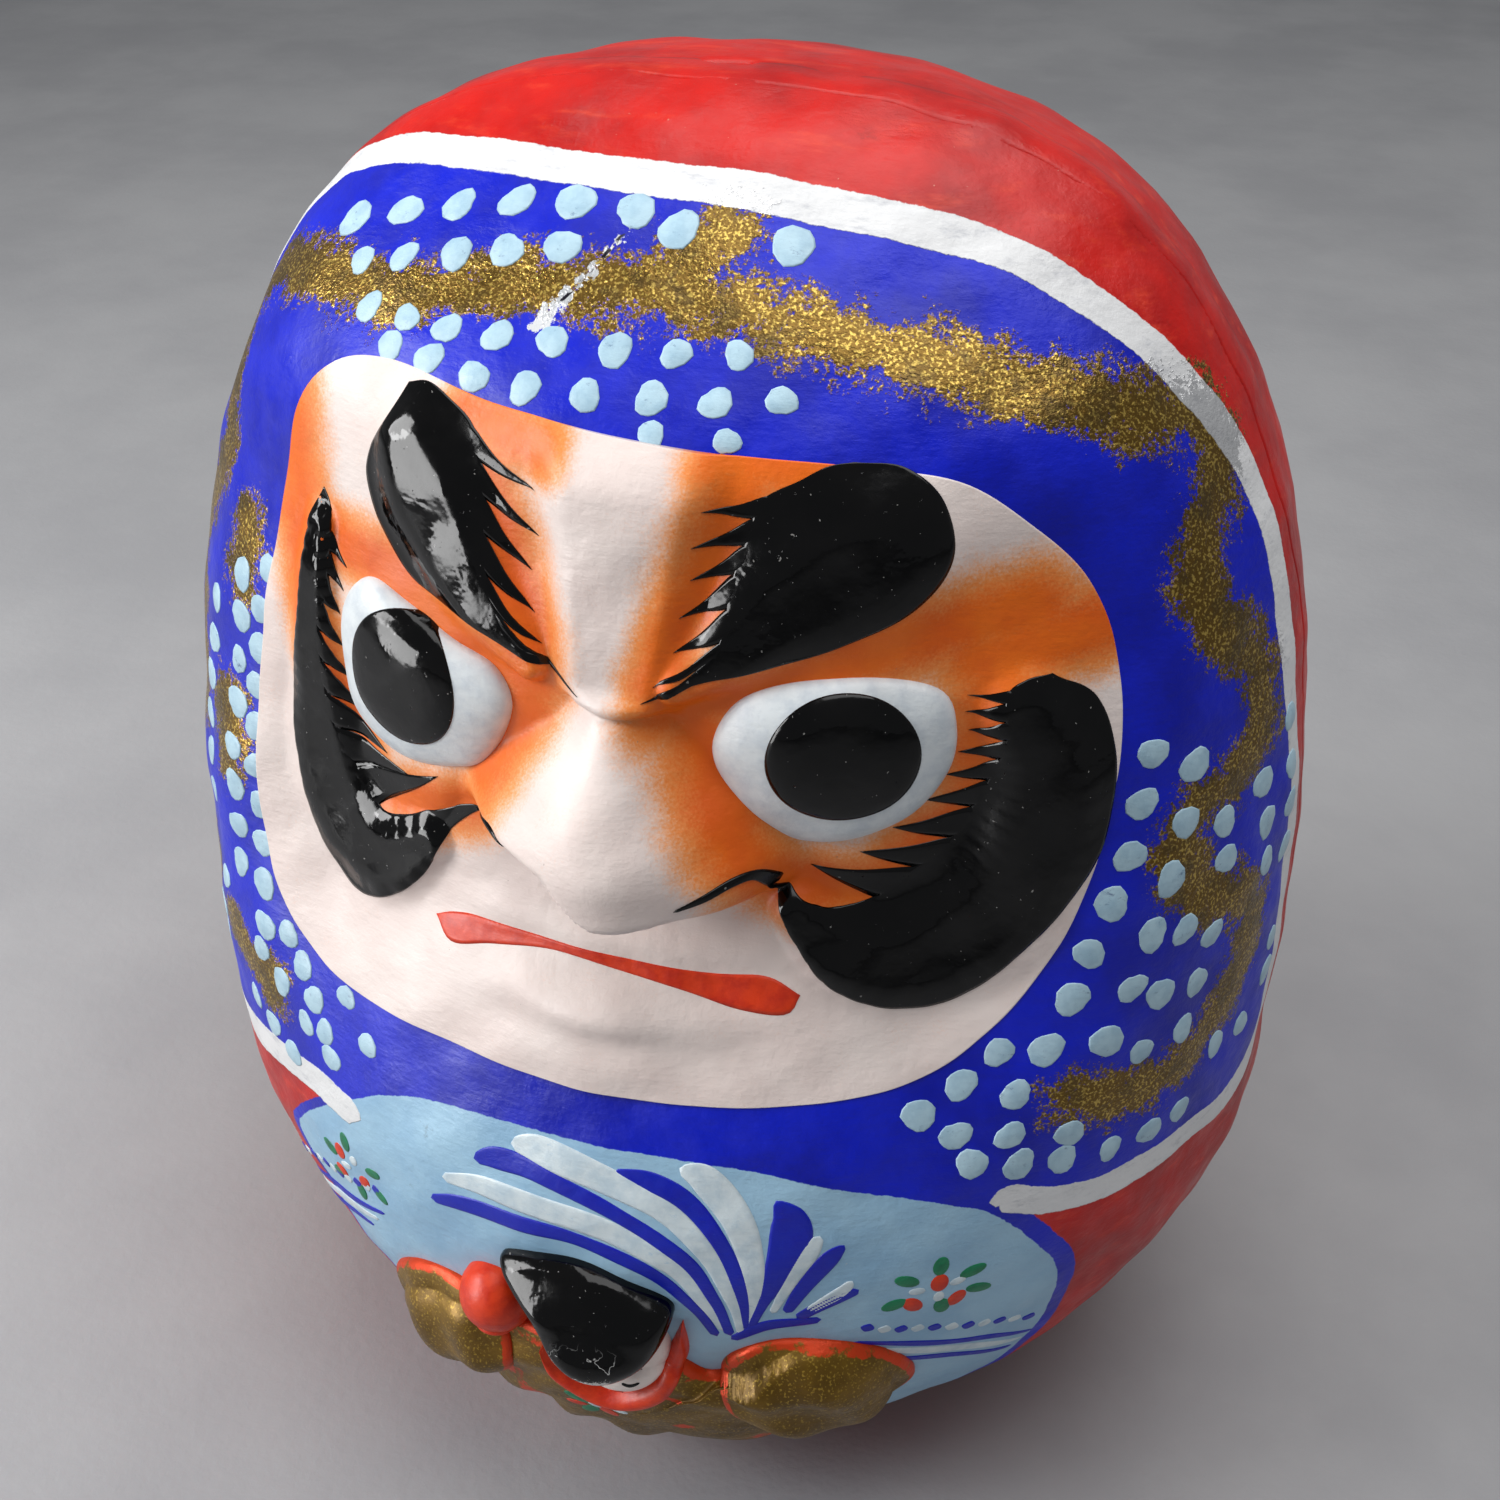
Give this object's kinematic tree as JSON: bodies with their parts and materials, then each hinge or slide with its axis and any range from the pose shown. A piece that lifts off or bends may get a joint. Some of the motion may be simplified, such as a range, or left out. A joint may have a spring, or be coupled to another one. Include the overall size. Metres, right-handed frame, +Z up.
{
  "type": "daruma doll",
  "caption": "Large hollow papier-mache daruma doll with a blue hood, fierce face and a lucky-god relief on its belly; flat weighted foot.",
  "frame": {"origin": "centre of the flat foot, on the surface that the doll stands on", "axes": "+Z up through the crown, -Y the way the face looks, +X the doll's own left side"},
  "size_m": [0.3736, 0.359, 0.4509],
  "materials": {
    "lacquered_paper": "papier-mache painted over a chalk ground: blue hood, white border, red robe; half gloss",
    "red_paper": "papier-mache with brushed red paint over a chalk ground, half gloss",
    "seam_paper": "pasted paper strip under the red paint",
    "foot_paper": "bare pasted paper",
    "foot_board": "grey-brown board",
    "clay": "dried clay",
    "face_white": "pressed paper pulp, pinkish white chalk paint, satin",
    "eye_white": "pressed paper pulp, white chalk paint, satin",
    "black_gloss": "pressed paper pulp, thick glossy black paint",
    "robe_gold": "pressed paper pulp, brownish gold bronze paint",
    "collar_red": "pressed paper pulp, orange red paint",
    "bag_blue": "pressed paper pulp, light blue paint"
  },
  "bodies": {
    "root": {"shell_front": "lacquered_paper", "shell_back": "red_paper", "seam_tape": "seam_paper", "foot_paper": "foot_paper", "foot_board": "foot_board", "clay_weight": "clay", "nose": "face_white", "eye_left": "eye_white", "eye_right": "eye_white", "brow_left": "black_gloss", "brow_right": "black_gloss", "cheek_left": "black_gloss", "cheek_right": "black_gloss", "figure_robe": "robe_gold", "figure_head": "face_white", "figure_cap": "black_gloss", "figure_collar": "collar_red", "figure_mallet": "collar_red", "figure_sleeve_left": "robe_gold", "figure_sleeve_right": "robe_gold"}
  },
  "joints": []
}
